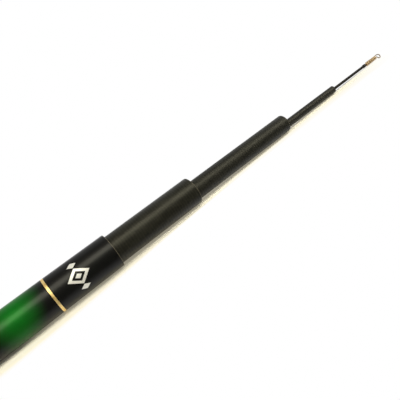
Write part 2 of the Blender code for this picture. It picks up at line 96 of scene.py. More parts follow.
# %% Axis and radii of a turned solid
RING_DEPTH = 0.1 * MM
LIP_DEPTH = 0.6 * MM


class Seat:
    """The axis of a turned solid, and its outer and inner radii by height along that axis."""

    def __init__(self, node):
        corners = np.array([corner.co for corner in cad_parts[node].data.vertices], float)
        x = corners[:, 0]
        rings = corners[x < x.min() + RING_DEPTH], corners[x > x.max() - RING_DEPTH]
        self.start, end = [Vector((ring.min(0) + ring.max(0)) / 2) for ring in rings]
        self.length = (end - self.start).length
        self.way = (end - self.start).normalized()
        offset = corners - np.array(self.start)
        self.heights = offset @ np.array(self.way)
        self.radii = np.linalg.norm(offset - np.outer(self.heights, self.way), axis=1)

    def radii_near(self, height):
        return self.radii[abs(self.heights - height) < LIP_DEPTH]

    def outer(self, height):
        return float(self.radii_near(height).max())

    def inner(self, height):
        return float(self.radii_near(height).min())

    def outer_at(self, height):
        """Outer radius of a plain taper from one end to the other."""
        share = height / self.length
        return self.outer(0) * (1 - share) + self.outer(self.length) * share

    def wedge(self):
        """Height and radius of the last ring inside the bore, where it begins to hug the next section."""
        ends = [self.outer(0) + self.inner(0), self.outer(self.length) + self.inner(self.length)]
        middle = np.interp(self.heights, [0, self.length], ends) / 2
        inside = (self.radii < middle) & (self.heights < self.length - LIP_DEPTH)
        top = self.heights[inside].max()
        return float(top), float(self.radii[inside & (self.heights > top - RING_DEPTH)].min())

    def matrix(self):
        slope = math.atan2(self.way.z, self.way.x)
        return Matrix.Translation(self.start) @ Matrix.Rotation(-slope, 4, "Y")


BUTT = Seat("butt_blank")
MOUTH_X = BUTT.start.x + BUTT.length
print("butt mouth at x", round(MOUTH_X, 4), "radius", round(BUTT.outer(BUTT.length), 5))

# %% [markdown]
# ## Turning, rounding and laying a piece
# Nearly every piece of a rod is round: fibre cloth is rolled on a spinning mandrel. Blender's spin operator
# does the like, and sweeps a few joined corners round an axis. Sharp rings are then rounded with the bevel
# operator, as a file does on a lathe.

# %% Helpers that shape a piece
FULL_TURN = 2 * math.pi
TUBE_STEPS = 128
ROUNDING_STEPS = 3
NEAR = 0.01 * MM
SAME_PLACE = 0.0001 * MM


def ring_edges(shape, height, radius):
    """The edges of the ring at that height and radius."""
    ring = set()
    for corner in shape.verts:
        if abs(corner.co.x - height) < NEAR and abs(corner.co.yz.length - radius) < NEAR:
            ring.add(corner)
    return [edge for edge in shape.edges if ring.issuperset(edge.verts)]


def spun(shape, angle, steps, **more):
    """Sweeps all that the shape has so far round the X axis."""
    geometry = shape.verts[:] + shape.edges[:] + shape.faces[:]
    bmesh.ops.spin(shape, geom=geometry, cent=(0, 0, 0), axis=(1, 0, 0), angle=angle, steps=steps, **more)


def merged(shape):
    """Joins the corners that share a place, and turns the faces outwards."""
    bmesh.ops.remove_doubles(shape, verts=shape.verts, dist=SAME_PLACE)
    bmesh.ops.recalc_face_normals(shape, faces=shape.faces)
    return shape


def turned(profile, steps=TUBE_STEPS, closed=True):
    """Corners as (height, radius) or (height, radius, rounding), spun round the X axis and then rounded."""
    shape = bmesh.new()
    corners = [shape.verts.new((height, 0.0, radius)) for height, radius, *_ in profile]
    for first, second in zip(corners, corners[1:]):
        shape.edges.new((first, second))
    if closed:
        shape.edges.new((corners[-1], corners[0]))
    spun(shape, FULL_TURN, steps, use_merge=True)
    merged(shape)
    for height, radius, rounding in [corner for corner in profile if len(corner) == 3]:
        bmesh.ops.bevel(
            shape,
            geom=ring_edges(shape, height, radius),
            offset=rounding,
            offset_type="OFFSET",
            segments=ROUNDING_STEPS,
            profile=0.5,
            affect="EDGES",
            material=-1,
        )
    return shape


def lay(shape, seat):
    bmesh.ops.transform(shape, matrix=seat.matrix(), verts=shape.verts)


def finished(shape, name, body, node, materials, sharp=40.0):
    """Makes a bmesh the piece that stands for a solid, and lets it ride on its body."""
    low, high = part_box(node)
    ends = [max(corner.co[axis] for corner in shape.verts) - high[axis] for axis in range(3)]
    ends += [low[axis] - min(corner.co[axis] for corner in shape.verts) for axis in range(3)]
    mesh = bpy.data.meshes.new(name)
    shape.to_mesh(mesh)
    shape.free()
    mesh.shade_smooth()
    mesh.set_sharp_from_angle(angle=math.radians(sharp))
    piece = placed(name, mesh)
    for material in materials:
        mesh.materials.append(material)
    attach(piece, body)
    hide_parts(node)
    triangles = sum(len(face.vertices) - 2 for face in mesh.polygons)
    print(name, triangles, "triangles, past its solid by", [round(end / MM, 2) for end in ends], "mm")


# %% [markdown]
# ## Building materials with nodes
# A material is a small graph. These helpers add a node and feed its sockets with numbers or with another
# node's output, so that each material below reads as a short list of steps: sums, blends of two colours, and
# speckle, which is the noise that every real surface has.

# %% Helpers that build node graphs
def fill(tree, node, sockets):
    """Feeds a node's sockets, given by name or number, and gives back its outputs."""
    for name, value in sockets.items():
        if isinstance(value, bpy.types.NodeSocket):
            tree.links.new(value, node.inputs[name])
        else:
            node.inputs[name].default_value = value
    return node.outputs


def add(tree, kind, sockets, **settings):
    """Adds a node with its settings, feeds its sockets, and gives back its outputs."""
    node = tree.nodes.new(kind)
    for name, value in settings.items():
        setattr(node, name, value)
    return fill(tree, node, sockets)


def sums(tree, operation, *values):
    return add(tree, "ShaderNodeMath", dict(enumerate(values)), operation=operation)[0]


def largest(tree, first, *others):
    for other in others:
        first = sums(tree, "MAXIMUM", first, other)
    return first


def axes(tree, place):
    """The X, Y and Z of a place."""
    return add(tree, "ShaderNodeSeparateXYZ", {0: place})


def smooth_range(tree, value, low, high, least=0.0, most=1.0):
    """Goes softly from least to most while the value goes from low to high."""
    sockets = {"Value": value, "From Min": low, "From Max": high, "To Min": least, "To Max": most}
    return add(tree, "ShaderNodeMapRange", sockets, interpolation_type="SMOOTHSTEP")[0]


def speckle(tree, where, scale, detail=2.0, roughness=0.5):
    """Noise from 0 to 1, with about as many grains in a metre as the scale says."""
    sockets = {"Vector": where, "Scale": scale, "Detail": detail, "Roughness": roughness}
    return add(tree, "ShaderNodeTexNoise", sockets)["Fac"]


def stretched(tree, where, factors):
    """The same place with its axes stretched, so that a speckle becomes a streak."""
    return add(tree, "ShaderNodeVectorMath", {0: where, 1: factors}, operation="MULTIPLY")[0]


# %% Helpers for colour
def grey(level):
    return (level, level, level, 1)


def blend(tree, mask, first, second, kind="RGBA"):
    """The first colour where the mask is 0, and the second where it is 1. The kind FLOAT blends numbers."""
    sockets = {"Factor": mask, "A": first, "B": second}
    return add(tree, "ShaderNodeMix", sockets, data_type=kind)["Result"]


def tinted(tree, base, mask, share, colour):
    """The base, with that share of the colour where the mask is 1."""
    return blend(tree, sums(tree, "MULTIPLY", mask, share), base, colour)


# %% Helpers for groups and materials
FLOAT = "NodeSocketFloat"
VECTOR = "NodeSocketVector"


def new_group(name, inputs, outputs):
    """An empty node group. Inputs are (name, type) or (name, type, default), and outputs are names."""
    tree = bpy.data.node_groups.new(name, "ShaderNodeTree")
    for label, kind, *default in inputs:
        socket = tree.interface.new_socket(name=label, in_out="INPUT", socket_type=kind)
        if default:
            socket.default_value = default[0]
    for label in outputs:
        tree.interface.new_socket(name=label, in_out="OUTPUT", socket_type=FLOAT)
    return tree, tree.nodes.new("NodeGroupInput").outputs, tree.nodes.new("NodeGroupOutput")


def new_material(name):
    """A material, its tree, and the place on the piece."""
    material = bpy.data.materials.new(name)
    material.use_nodes = True
    return material, material.node_tree, add(material.node_tree, "ShaderNodeTexCoord", {})["Object"]


def surface(material, look, height, depth):
    """Feeds the material's Principled shader, with a bump that is that deep where the height is 1."""
    tree = material.node_tree
    bump = add(tree, "ShaderNodeBump", {"Height": height, "Distance": depth})["Normal"]
    fill(tree, tree.nodes["Principled BSDF"], {**look, "Normal": bump})
    return material


# %% [markdown]
# ## Effects that several finishes share
# Three effects come back on more than one piece. Fine rings stand for whatever runs round a turned piece: the
# ridges that shrink tape leaves on rolled fibre, or the marks of a lathe tool. Handling is the mix of smears
# and dust that every used surface has. Rubbed edge is the pale wear next to an edge. Each is a node group,
# built once, with inputs that each material feeds with its own values.

# %% Shared effect: fine rings round the rod
tree, given, result = new_group(
    "Fine rings", [("Place", VECTOR), ("Pitch", FLOAT, 0.0014), ("Wander", FLOAT, 0.25)], ["Relief"]
)
turns = sums(tree, "DIVIDE", axes(tree, given["Place"])["X"], given["Pitch"])
drift = sums(tree, "MULTIPLY", speckle(tree, given["Place"], 60.0, 1.0), given["Wander"])
phase = sums(tree, "MULTIPLY", sums(tree, "ADD", turns, drift), FULL_TURN)
wave = sums(tree, "MULTIPLY_ADD", sums(tree, "SINE", phase), 0.5, 0.5)
strength = sums(tree, "MULTIPLY_ADD", speckle(tree, given["Place"], 350.0, 2.0), 0.9, 0.3)
fill(tree, result, {"Relief": sums(tree, "MULTIPLY", wave, strength)})
ring_group = tree


def rings_at(tree, place, pitch, wander=0.25):
    sockets = {"Place": place, "Pitch": pitch, "Wander": wander}
    return add(tree, "ShaderNodeGroup", sockets, node_tree=ring_group)["Relief"]


# %% Shared effect: smears and dust from handling
SMEAR_STRETCH = (0.35, 1.0, 1.0)
SMEAR_FINENESS = 0.12
SMEAR_RANGE = (0.38, 0.68)
DUST_RANGE = (0.66, 0.78)

tree, given, result = new_group(
    "Handling", [("Place", VECTOR), ("Grain size", FLOAT, 0.001)], ["Smear", "Dust"]
)
fineness = sums(tree, "DIVIDE", 1.0, given["Grain size"])
streaks = stretched(tree, given["Place"], SMEAR_STRETCH)
smears = speckle(tree, streaks, sums(tree, "MULTIPLY", fineness, SMEAR_FINENESS), 4.0)
grains = speckle(tree, given["Place"], fineness, 1.0)
smear = smooth_range(tree, smears, *SMEAR_RANGE)
fill(tree, result, {"Smear": smear, "Dust": smooth_range(tree, grains, *DUST_RANGE)})
handling_group = tree


def handling_at(tree, place, grain_size):
    sockets = {"Place": place, "Grain size": grain_size}
    return add(tree, "ShaderNodeGroup", sockets, node_tree=handling_group)


# %% Shared effect: wear beside an edge
WEAR_RANGE = (0.95, 1.35)

tree, given, result = new_group(
    "Rubbed edge", [("Place", VECTOR), ("Edge", FLOAT), ("Reach", FLOAT, 0.001)], ["Mask"]
)
gap = sums(tree, "ABSOLUTE", sums(tree, "SUBTRACT", axes(tree, given["Place"])["X"], given["Edge"]))
nearness = sums(tree, "SUBTRACT", 1.0, sums(tree, "DIVIDE", gap, given["Reach"]))
uneven = sums(tree, "ADD", nearness, speckle(tree, given["Place"], 900.0, 3.0))
fill(tree, result, {"Mask": smooth_range(tree, uneven, *WEAR_RANGE)})
rubbed_group = tree


def wear_at(tree, place, edge, reach):
    sockets = {"Place": place, "Edge": edge, "Reach": reach}
    return add(tree, "ShaderNodeGroup", sockets, node_tree=rubbed_group)["Mask"]


print("shared effects:", [group.name for group in bpy.data.node_groups])

# %% [markdown]
# ## The butt's lacquer
# The butt is sprayed black, with a zone of candy green below the gold band that fades back to black both
# ways, and a clear coat over all of it. Candy paint is a transparent tint over metal flake, so it is bright
# where it faces the light and deep elsewhere: a metallic base gives that. The zone's two ends are wide and
# soft, as a spray gun leaves them, and lean with height, so that on the lower side the green reaches less far
# and the rod is darker there. Between the gold band and the mouth sits a silver foil ornament, here a plain
# row of lozenges, worked out from the angle round the rod.

# %% Lacquer of the butt
GREEN_START = 75 * MM
GREEN_END = 41 * MM
GREEN_FADE = 30 * MM
GREEN_LEVEL = 7 * MM
GREEN_START_LEAN = -0.12
GREEN_END_LEAN = 0.36
LACQUER_RING_PITCH = 2.1 * MM
FOIL_FROM_MOUTH = 23 * MM
FOIL_ANGLE = math.radians(28)
FOIL_LOZENGES = ((0.0, 4.9, 6.6), (7.1, 1.8, 2.8), (-7.1, 1.8, 2.8))
FOIL_WINDOW = 0.62
FOIL_HEART = 0.30
RUBBED_COLOUR = (0.08, 0.075, 0.055, 1)


def lozenge(tree, around, along, middle, half_width, half_length, share=1.0):
    """A mask that is 1 inside a lozenge. Around and along are in metres, and the sizes in millimetres."""
    across = sums(tree, "ABSOLUTE", sums(tree, "SUBTRACT", around, middle * MM))
    across = sums(tree, "DIVIDE", across, half_width * MM)
    length = sums(tree, "DIVIDE", sums(tree, "ABSOLUTE", along), half_length * MM)
    return sums(tree, "LESS_THAN", sums(tree, "ADD", across, length), share)


def foil_mask(tree, place, radius):
    """Silver foil lozenges round the rod: a large one with a window and a heart, between two small ones."""
    x, y, z = axes(tree, place)
    along = sums(tree, "SUBTRACT", x, MOUTH_X - FOIL_FROM_MOUTH)
    angle = sums(tree, "ARCTAN2", z, sums(tree, "MULTIPLY", y, -1.0))
    around = sums(tree, "MULTIPLY", sums(tree, "SUBTRACT", angle, FOIL_ANGLE), radius)
    large, *small = FOIL_LOZENGES
    shares = (1.0, FOIL_WINDOW, FOIL_HEART)
    whole, window, heart = [lozenge(tree, around, along, *large, share) for share in shares]
    beside = [lozenge(tree, around, along, *each) for each in small]
    return largest(tree, sums(tree, "SUBTRACT", whole, window), heart, *beside)


def butt_lacquer():
    material, tree, place = new_material("butt lacquer")
    x, _, z = axes(tree, place)
    above = sums(tree, "SUBTRACT", z, GREEN_LEVEL)
    start = sums(tree, "MULTIPLY_ADD", above, GREEN_START_LEAN, MOUTH_X - GREEN_START)
    end = sums(tree, "MULTIPLY_ADD", above, GREEN_END_LEAN, MOUTH_X - GREEN_END)
    rise = smooth_range(tree, x, start, sums(tree, "ADD", start, GREEN_FADE))
    fall = smooth_range(tree, x, end, sums(tree, "SUBTRACT", end, GREEN_FADE))
    green_zone = sums(tree, "MULTIPLY", rise, fall)
    rubbed = wear_at(tree, place, MOUTH_X, 0.4 * MM)
    smear = handling_at(tree, place, 0.5 * MM)["Smear"]
    flakes = speckle(tree, place, 9000.0, 1.0)
    green = blend(tree, flakes, (0.0, 0.26, 0.006, 1), (0.001, 0.49, 0.030, 1))
    paint = blend(tree, green_zone, (0.004, 0.004, 0.0038, 1), green)
    paint = tinted(tree, paint, rubbed, 0.5, RUBBED_COLOUR)
    foil = foil_mask(tree, place, BUTT.outer(BUTT.length))
    gloss = sums(tree, "MULTIPLY_ADD", smear, 0.06, 0.42)
    look = {
        "Base Color": blend(tree, foil, paint, (0.80, 0.80, 0.79, 1)),
        "Metallic": blend(tree, foil, green_zone, 0.4, "FLOAT"),
        "Roughness": sums(tree, "MULTIPLY_ADD", green_zone, -0.06, gloss),
        "Specular IOR Level": 0.05,
        "Coat Weight": sums(tree, "MULTIPLY_ADD", green_zone, -0.28, 0.46),
        "Coat Roughness": 0.31,
    }
    ripples = speckle(tree, stretched(tree, place, (0.4, 1.0, 1.0)), 500.0, 2.0)
    rings = rings_at(tree, place, LACQUER_RING_PITCH)
    skin = sums(tree, "ADD", sums(tree, "MULTIPLY", ripples, 0.4), sums(tree, "MULTIPLY", rings, 0.6))
    return surface(material, look, skin, 0.010 * MM)


# %% [markdown]
# ## The fibre that shows
# The inner sections are ground fibre tubes with a thin matt coat: nearly black, slightly olive. Their
# tape ridges are bumped, and their tops are also painted paler: a painted highlight that shows as faint
# rings. At each mouth the coat ends, and the cut fibre is paler.

# %% Fibre of the sections, cut fibre and bores
RIDGE_PITCH = 1.7 * MM


def section_fibre(name, tone, roughness, ridge, mouth_x):
    material, tree, place = new_material(name)
    handling = handling_at(tree, place, 0.35 * MM)
    relief = rings_at(tree, place, RIDGE_PITCH, 0.9)
    rubbed = wear_at(tree, place, mouth_x, 0.8 * MM)
    dark, light, painted_ridge_highlight = [[factor * part for part in tone] + [1] for factor in (0.8, 1.2, 2.6)]
    coat = blend(tree, handling["Smear"], dark, light)
    # Painted highlight: the ridge tops are painted paler, as where they catch the light.
    coat = tinted(tree, coat, relief, 0.45, painted_ridge_highlight)
    coat = tinted(tree, coat, handling["Dust"], 0.2, (0.12, 0.115, 0.10, 1))
    look = {
        "Base Color": tinted(tree, coat, rubbed, 0.35, RUBBED_COLOUR),
        "Roughness": sums(tree, "MULTIPLY_ADD", handling["Smear"], 0.08, roughness),
        "Specular IOR Level": 0.30,
        "Specular Tint": (1.0, 0.98, 0.86, 1),
    }
    return surface(material, look, relief, ridge)


def bare_fibre(name, stretch, scale, detail, dark, pale, roughness):
    """Fibre without a coat: its layers show as streaks. A stretch above 1 squeezes them along the rod."""
    material, tree, place = new_material(name)
    streaks = speckle(tree, stretched(tree, place, (stretch, 1.0, 1.0)), scale, detail)
    look = {"Base Color": blend(tree, streaks, dark, pale), "Roughness": roughness}
    return surface(material, look, streaks, 0.01 * MM)


CUT_TONES = ((0.05, 0.045, 0.03, 1), (0.16, 0.14, 0.10, 1))
BORE_TONES = ((0.008, 0.008, 0.007, 1), (0.03, 0.028, 0.024, 1))
EDGE_MATERIAL = bare_fibre("cut fibre", 6.0, 1800.0, 3.0, *CUT_TONES, roughness=0.6)
BORE_MATERIAL = bare_fibre("bore fibre", 0.08, 2200.0, 2.0, *BORE_TONES, roughness=0.65)
print("fibre:", EDGE_MATERIAL.name, "and", BORE_MATERIAL.name)

# %% [markdown]
# ## Tubes
# A blank is a thin tapered tube. Its profile is five corners: outside at the base, outside at the mouth, the
# bore at the mouth, the height where the bore starts to hug the next section, and the bore at the base. The
# lips are rounded. Faces that look at the axis get the bore's material, and the rounded lips get the cut
# fibre.

# %% Tube of one section
LIP_ROUNDING = 0.25 * MM
BORE_ROUNDING = 0.1 * MM
NOTCH_DEPTH = 0.35 * MM
NOTCH_GAP = 0.02 * MM


def tube(node, name, body, material, notches=()):
    seat = Seat(node)
    length = seat.length
    wedge_height, wedge_bore = seat.wedge()
    outside = [(0.0, seat.outer(0), LIP_ROUNDING)]
    for low, high in notches:
        for height, depth in ((low, 0), (low, NOTCH_DEPTH), (high, NOTCH_DEPTH), (high, 0)):
            outside.append((height, seat.outer_at(height) - depth))
    outside.append((length, seat.outer(length), LIP_ROUNDING))
    inside = [
        (length, seat.inner(length), BORE_ROUNDING),
        (wedge_height, wedge_bore),
        (0.0, seat.inner(0), BORE_ROUNDING),
    ]
    shape = turned(outside + inside)
    for face in shape.faces:
        middle = face.calc_center_median()
        if min(middle.x, length - middle.x) < LIP_ROUNDING and abs(face.normal.x) > 0.2:
            face.material_index = 1
        elif middle.yz.dot(face.normal.yz) < 0:
            face.material_index = 2
    lay(shape, seat)
    finished(shape, name, body, node, [material, EDGE_MATERIAL, BORE_MATERIAL], sharp=60.0)


notches = [
    (low.x - NOTCH_GAP - BUTT.start.x, high.x + NOTCH_GAP - BUTT.start.x)
    for low, high in (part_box("grip_trim_ring"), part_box("butt_trim_ring"))
]
tube("butt_blank", "butt_tube", "butt", butt_lacquer(), notches)

# %% Tubes of the inner sections
SECTION_TONES = ((0.0095, 0.0095, 0.0072), (0.0085, 0.0085, 0.0068), (0.008, 0.008, 0.0066))
SECTION_ROUGHNESS = (0.38, 0.44, 0.48)
SECTION_RIDGES = (0.035 * MM, 0.022 * MM, 0.015 * MM)
for number, tone, roughness, ridge in zip((2, 3, 4), SECTION_TONES, SECTION_ROUGHNESS, SECTION_RIDGES):
    node = f"section_{number}_blank"
    mouth_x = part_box(node)[1].x
    fibre = section_fibre(f"section {number} fibre", tone, roughness, ridge, mouth_x)
    tube(node, f"section_{number}_tube", f"section_{number}", fibre)

# %% [markdown]
# ## Gold bands
# On the real rod a strip of gold foil is wound round the butt and sealed under the clear coat. Here it is a
# thin ring in a shallow notch, with rounded corners that catch the light. Foil is metal, so its colour is in
# the reflection, and fine rings from polishing spread that out.

# %% Gold foil and its two bands
FINE_ROUNDING = 0.08 * MM


def gold_foil():
    material, tree, place = new_material("gold foil")
    rings = rings_at(tree, place, 0.16 * MM, 1.5)
    smear = handling_at(tree, place, 0.3 * MM)["Smear"]
    look = {
        "Base Color": blend(tree, smear, (1.0, 0.76, 0.34, 1), (0.92, 0.65, 0.25, 1)),
        "Metallic": 0.78,
        "Roughness": sums(tree, "MULTIPLY_ADD", rings, 0.08, 0.40),
    }
    return surface(material, look, rings, 0.002 * MM)


def sleeve(seat, rounding, skin=()):
    """Profile of a sleeve: its outside with rounded ends, and any corners between them, then its bore."""
    return [
        (0.0, seat.outer(0), rounding),
        *skin,
        (seat.length, seat.outer(seat.length), rounding),
        (seat.length, seat.inner(seat.length)),
        (0.0, seat.inner(0)),
    ]


GOLD = gold_foil()
for node, name in (("butt_trim_ring", "gold_band"), ("grip_trim_ring", "grip_band")):
    seat = Seat(node)
    band = turned(sleeve(seat, FINE_ROUNDING))
    lay(band, seat)
    finished(band, name, "butt", node, [GOLD])

# %% [markdown]
# ## The tip
# The thinnest section is solid. Its last centimetre is ground back a little, and a wire is wound over the
# ground part, held by brown varnish that shows between the turns. A mask that is 1 past the collar makes it
# brown there and black elsewhere. The profile begins and ends on the axis, so the spin closes both ends.

# %% Tip rod
COLLAR_LOW, COLLAR_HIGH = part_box("tip_collar")
TIP = Seat("tip_blank")
TIP_SHOULDER = COLLAR_HIGH.x - TIP.start.x
TIP_STEPS = 64
SMALL_ROUNDING = 0.12 * MM


def tip_lacquer():
    material, tree, place = new_material("tip lacquer")
    under_wire = sums(tree, "GREATER_THAN", axes(tree, place)["X"], COLLAR_HIGH.x)
    smear = handling_at(tree, place, 0.25 * MM)["Smear"]
    black = blend(tree, smear, (0.006, 0.005, 0.004, 1), (0.014, 0.011, 0.009, 1))
    brown = blend(tree, speckle(tree, place, 3000.0), (0.10, 0.05, 0.022, 1), (0.18, 0.095, 0.045, 1))
    look = {
        "Base Color": blend(tree, under_wire, black, brown),
        "Roughness": sums(tree, "MULTIPLY_ADD", smear, 0.1, 0.38),
        "Specular IOR Level": 0.15,
    }
    rings = rings_at(tree, place, 0.9 * MM)
    return surface(material, look, rings, 0.004 * MM)


profile = [
    (0.0, 0.0),
    (0.0, TIP.outer(0), 0.3 * MM),
    (TIP_SHOULDER, TIP.outer(TIP_SHOULDER)),
    (TIP_SHOULDER, TIP.inner(TIP_SHOULDER)),
    (TIP.length, TIP.outer(TIP.length), SMALL_ROUNDING),
    (TIP.length, 0.0),
]
rod = turned(profile, steps=TIP_STEPS, closed=False)
lay(rod, TIP)
finished(rod, "tip_rod", "tip", "tip_blank", [tip_lacquer()])

# %% [markdown]
# ## The collar at the tip
# A turn of thread under black varnish makes the small collar behind the wire. Varnish pulls itself round as
# it dries, so the ring's corners are rounded nearly to the middle.

# %% Collar
COLLAR_STEPS = 48
COLLAR_ROUNDING = 0.18 * MM
COLLAR_INNER = TIP.outer(TIP_SHOULDER) + 0.06 * MM
COLLAR_OUTER = COLLAR_INNER + 0.24 * MM


def collar_varnish():
    material, tree, place = new_material("collar varnish")
    threads = rings_at(tree, place, 0.2 * MM)
    tone = blend(tree, threads, grey(0.004), (0.012, 0.011, 0.010, 1))
    look = {"Base Color": tone, "Roughness": 0.22, "Specular IOR Level": 0.3}
    return surface(material, look, threads, 0.01 * MM)


collar_start = COLLAR_LOW.x - TIP.start.x
profile = [
    (collar_start, COLLAR_OUTER, COLLAR_ROUNDING),
    (TIP_SHOULDER, COLLAR_OUTER, COLLAR_ROUNDING),
    (TIP_SHOULDER, COLLAR_INNER),
    (collar_start, COLLAR_INNER),
]
collar = turned(profile, steps=COLLAR_STEPS)
lay(collar, TIP)
finished(collar, "tip_sleeve", "tip", "tip_collar", [collar_varnish()])

# %% [markdown]
# ## The wire, its coil and its eye
# One brass wire makes both: it starts along the tip, leans over, winds eight and a half turns, straightens
# again, and is bent into the eye that takes the line. The route is followed in small steps, as a hand winds
# it. A curve with a round bevel turns the route into wire, and becomes a mesh.

# %% Route of the wire
WIRE = 0.70 * MM
COIL_TURNS = 8.5
COIL_PITCH = 1.4 * MM
COIL_NARROWING = 0.2 * MM
COIL_GAP = 0.05 * MM
COIL_BEND = 1.2 * MM
COIL_FOOT = TIP_SHOULDER + 0.3 * MM
COIL_RADIUS = TIP.inner(TIP_SHOULDER) + COIL_GAP + WIRE / 2
COIL_LENGTH = COIL_TURNS * COIL_PITCH
EYE_ROLL = math.radians(150)
EYE_SWELL = math.radians(25)
EYE_LEAN = math.radians(12)
EYE_RETURN = math.radians(55)
EYE_LEG = 2.0 * MM
EYE_RADIUS = 1.5 * MM
EYE_BEND = 1.0 * MM
EYE_TAIL_GAP = 0.3 * MM
WIRE_STEP = 0.15 * MM


def coil_radius(height):
    return COIL_RADIUS - COIL_NARROWING * min((height - COIL_FOOT) / COIL_LENGTH, 1.0)


def coil_route():
    """The wire's middle as (radius, angle, height). A lean of 0 goes along the rod, and 1 round it."""
    height, angle = COIL_FOOT, 0.0
    route = [(coil_radius(height), angle, height)]
    middle = COIL_RADIUS - COIL_NARROWING / 2
    winding = COIL_TURNS * math.hypot(FULL_TURN * middle, COIL_PITCH)
    for length, first, last in ((WIRE, 0, 0), (COIL_BEND, 0, 1), (winding, 1, 1), (COIL_BEND, 1, 0)):
        steps = round(length / WIRE_STEP)
        for step in range(steps):
            lean = first + (last - first) * (step + 0.5) / steps
            lead = lean * math.atan2(FULL_TURN * coil_radius(height), COIL_PITCH)
            height += length / steps * math.cos(lead)
            angle += length / steps * math.sin(lead) / coil_radius(height)
            route.append((coil_radius(height), angle, height))
    return [(radius, angle_here - angle + EYE_ROLL, height) for radius, angle_here, height in route]


def eye_route(across, height):
    """The eye in its own plane: out and along one leg, round the loop, and back to the rod's axis."""
    heading = 0.0
    route = []

    def run(length, bend):
        nonlocal across, height, heading
        steps = max(round(length / WIRE_STEP), 1)
        for _ in range(steps):
            heading += bend / steps / 2
            across += math.sin(heading) * length / steps
            height += math.cos(heading) * length / steps
            heading += bend / steps / 2
            route.append((across, height))

    inwards = EYE_SWELL + EYE_LEAN
    back = math.pi - EYE_LEAN + EYE_RETURN
    settle = EYE_BEND * (1 - math.cos(EYE_RETURN))
    run(EYE_BEND * EYE_SWELL, EYE_SWELL)
    run(EYE_BEND * inwards, -inwards)
    run(EYE_LEG, 0.0)
    run(EYE_RADIUS * back, -back)
    run((-across - settle) / math.sin(EYE_RETURN), 0.0)
    run(EYE_BEND * EYE_RETURN, EYE_RETURN)
    run(height - COIL_FOOT - COIL_LENGTH - EYE_TAIL_GAP, 0.0)
    return route


def round_the_rod(radius, angle, height):
    return Vector((height, radius * math.sin(angle), -radius * math.cos(angle)))


coil = coil_route()
eye = eye_route(coil[-1][0], coil[-1][2])
wire_route = [round_the_rod(*place) for place in coil]
wire_route += [round_the_rod(across, EYE_ROLL, height) for across, height in eye]
print("wire:", round(sum((b - a).length for a, b in zip(wire_route, wire_route[1:])), 4), "m long")

# %% Wire
WIRE_SIDES = 14


def tube_along(route, radius, sides):
    """A round tube with closed ends along a route, as a bmesh."""
    curve = bpy.data.curves.new("route", "CURVE")
    curve.dimensions = "3D"
    curve.twist_mode = "MINIMUM"
    curve.bevel_depth = radius
    curve.bevel_resolution = sides // 2 - 2
    curve.use_fill_caps = True
    spline = curve.splines.new("POLY")
    spline.points.add(len(route) - 1)
    for point, place in zip(spline.points, route):
        point.co = (*place, 1.0)
    guide = placed("route", curve)
    graph = bpy.context.evaluated_depsgraph_get()
    mesh = bpy.data.meshes.new_from_object(guide.evaluated_get(graph))
    shape = bmesh.new()
    shape.from_mesh(mesh)
    bpy.data.objects.remove(guide, do_unlink=True)
    bpy.data.curves.remove(curve)
    bpy.data.meshes.remove(mesh)
    return merged(shape)


def brass_wire(eye_start_x):
    material, tree, place = new_material("brass wire")
    tarnish = speckle(tree, place, 1400.0, 4.0, 0.6)
    drawn = speckle(tree, place, 6000.0, 2.0)
    handled = sums(tree, "GREATER_THAN", axes(tree, place)["X"], eye_start_x)
    varnished = blend(tree, drawn, (0.62, 0.47, 0.28, 1), (0.80, 0.64, 0.42, 1))
    bare = blend(tree, drawn, (0.34, 0.25, 0.14, 1), (0.46, 0.36, 0.22, 1))
    bright = blend(tree, handled, varnished, bare)
    dull = blend(tree, handled, (0.36, 0.23, 0.12, 1), (0.14, 0.085, 0.04, 1))
    look = {
        "Base Color": blend(tree, tarnish, dull, bright),
        "Metallic": blend(tree, handled, 0.45, 0.9, "FLOAT"),
        "Roughness": sums(tree, "MULTIPLY_ADD", tarnish, 0.15, 0.27),
    }
    return surface(material, look, drawn, 0.004 * MM)


wire = tube_along(wire_route, WIRE / 2, WIRE_SIDES)
lay(wire, TIP)
coil_end_x = TIP.start.x + COIL_FOOT + COIL_LENGTH + COIL_BEND
finished(wire, "line_eye", "tip", "tip_coil_eye", [brass_wire(coil_end_x)], sharp=70.0)

# %% [markdown]
# ## The grip
# The handle is covered by a rubber sleeve that was shrunk over crossed cords: a diamond grip that doesn't
# slip when it is wet. The cords are real height here, not only bump: the sleeve is turned on a fine grid, and
# its corners move in where no cord lies under them. The cords round it are a whole number, so that the
# pattern meets itself.

# %% Grip cover
GRIP_ROW = 0.75 * MM
GRIP_STEPS = 136
CORD_COUNT = 10
CORD_REPEAT = 8.4 * MM
CORD_SHARE = 0.20
CORD_HEIGHT = 0.32 * MM
CORD_PROUD = 0.06 * MM
GRIP_CALM_END = 3.0 * MM
GRIP_ROUNDING = 0.3 * MM
GRIP_SKIN = 0.05 * MM


def smoothstep(value):
    value = min(max(value, 0.0), 1.0)
    return value * value * (3 - 2 * value)


def cord_relief(along, angle):
    """Height of the sleeve over the crossed cords, from 0 between them to 1 on top of one."""
    relief = 0.0
    for hand in (1, -1):
        phase = along / CORD_REPEAT + hand * CORD_COUNT * angle / FULL_TURN
        off = abs(phase - round(phase))
        relief = max(relief, smoothstep(1 - off / CORD_SHARE))
    return relief


def grip_rubber():
    material, tree, place = new_material("grip rubber")
    handling = handling_at(tree, place, 0.4 * MM)
    pores = speckle(tree, place, 3500.0, 3.0, 0.6)
    rubber = blend(tree, pores, grey(0.009), (0.020, 0.020, 0.019, 1))
    look = {
        "Base Color": tinted(tree, rubber, handling["Dust"], 0.35, (0.10, 0.098, 0.09, 1)),
        "Roughness": sums(tree, "MULTIPLY_ADD", handling["Smear"], -0.12, 0.66),
        "Specular IOR Level": 0.35,
    }
    return surface(material, look, pores, 0.03 * MM)


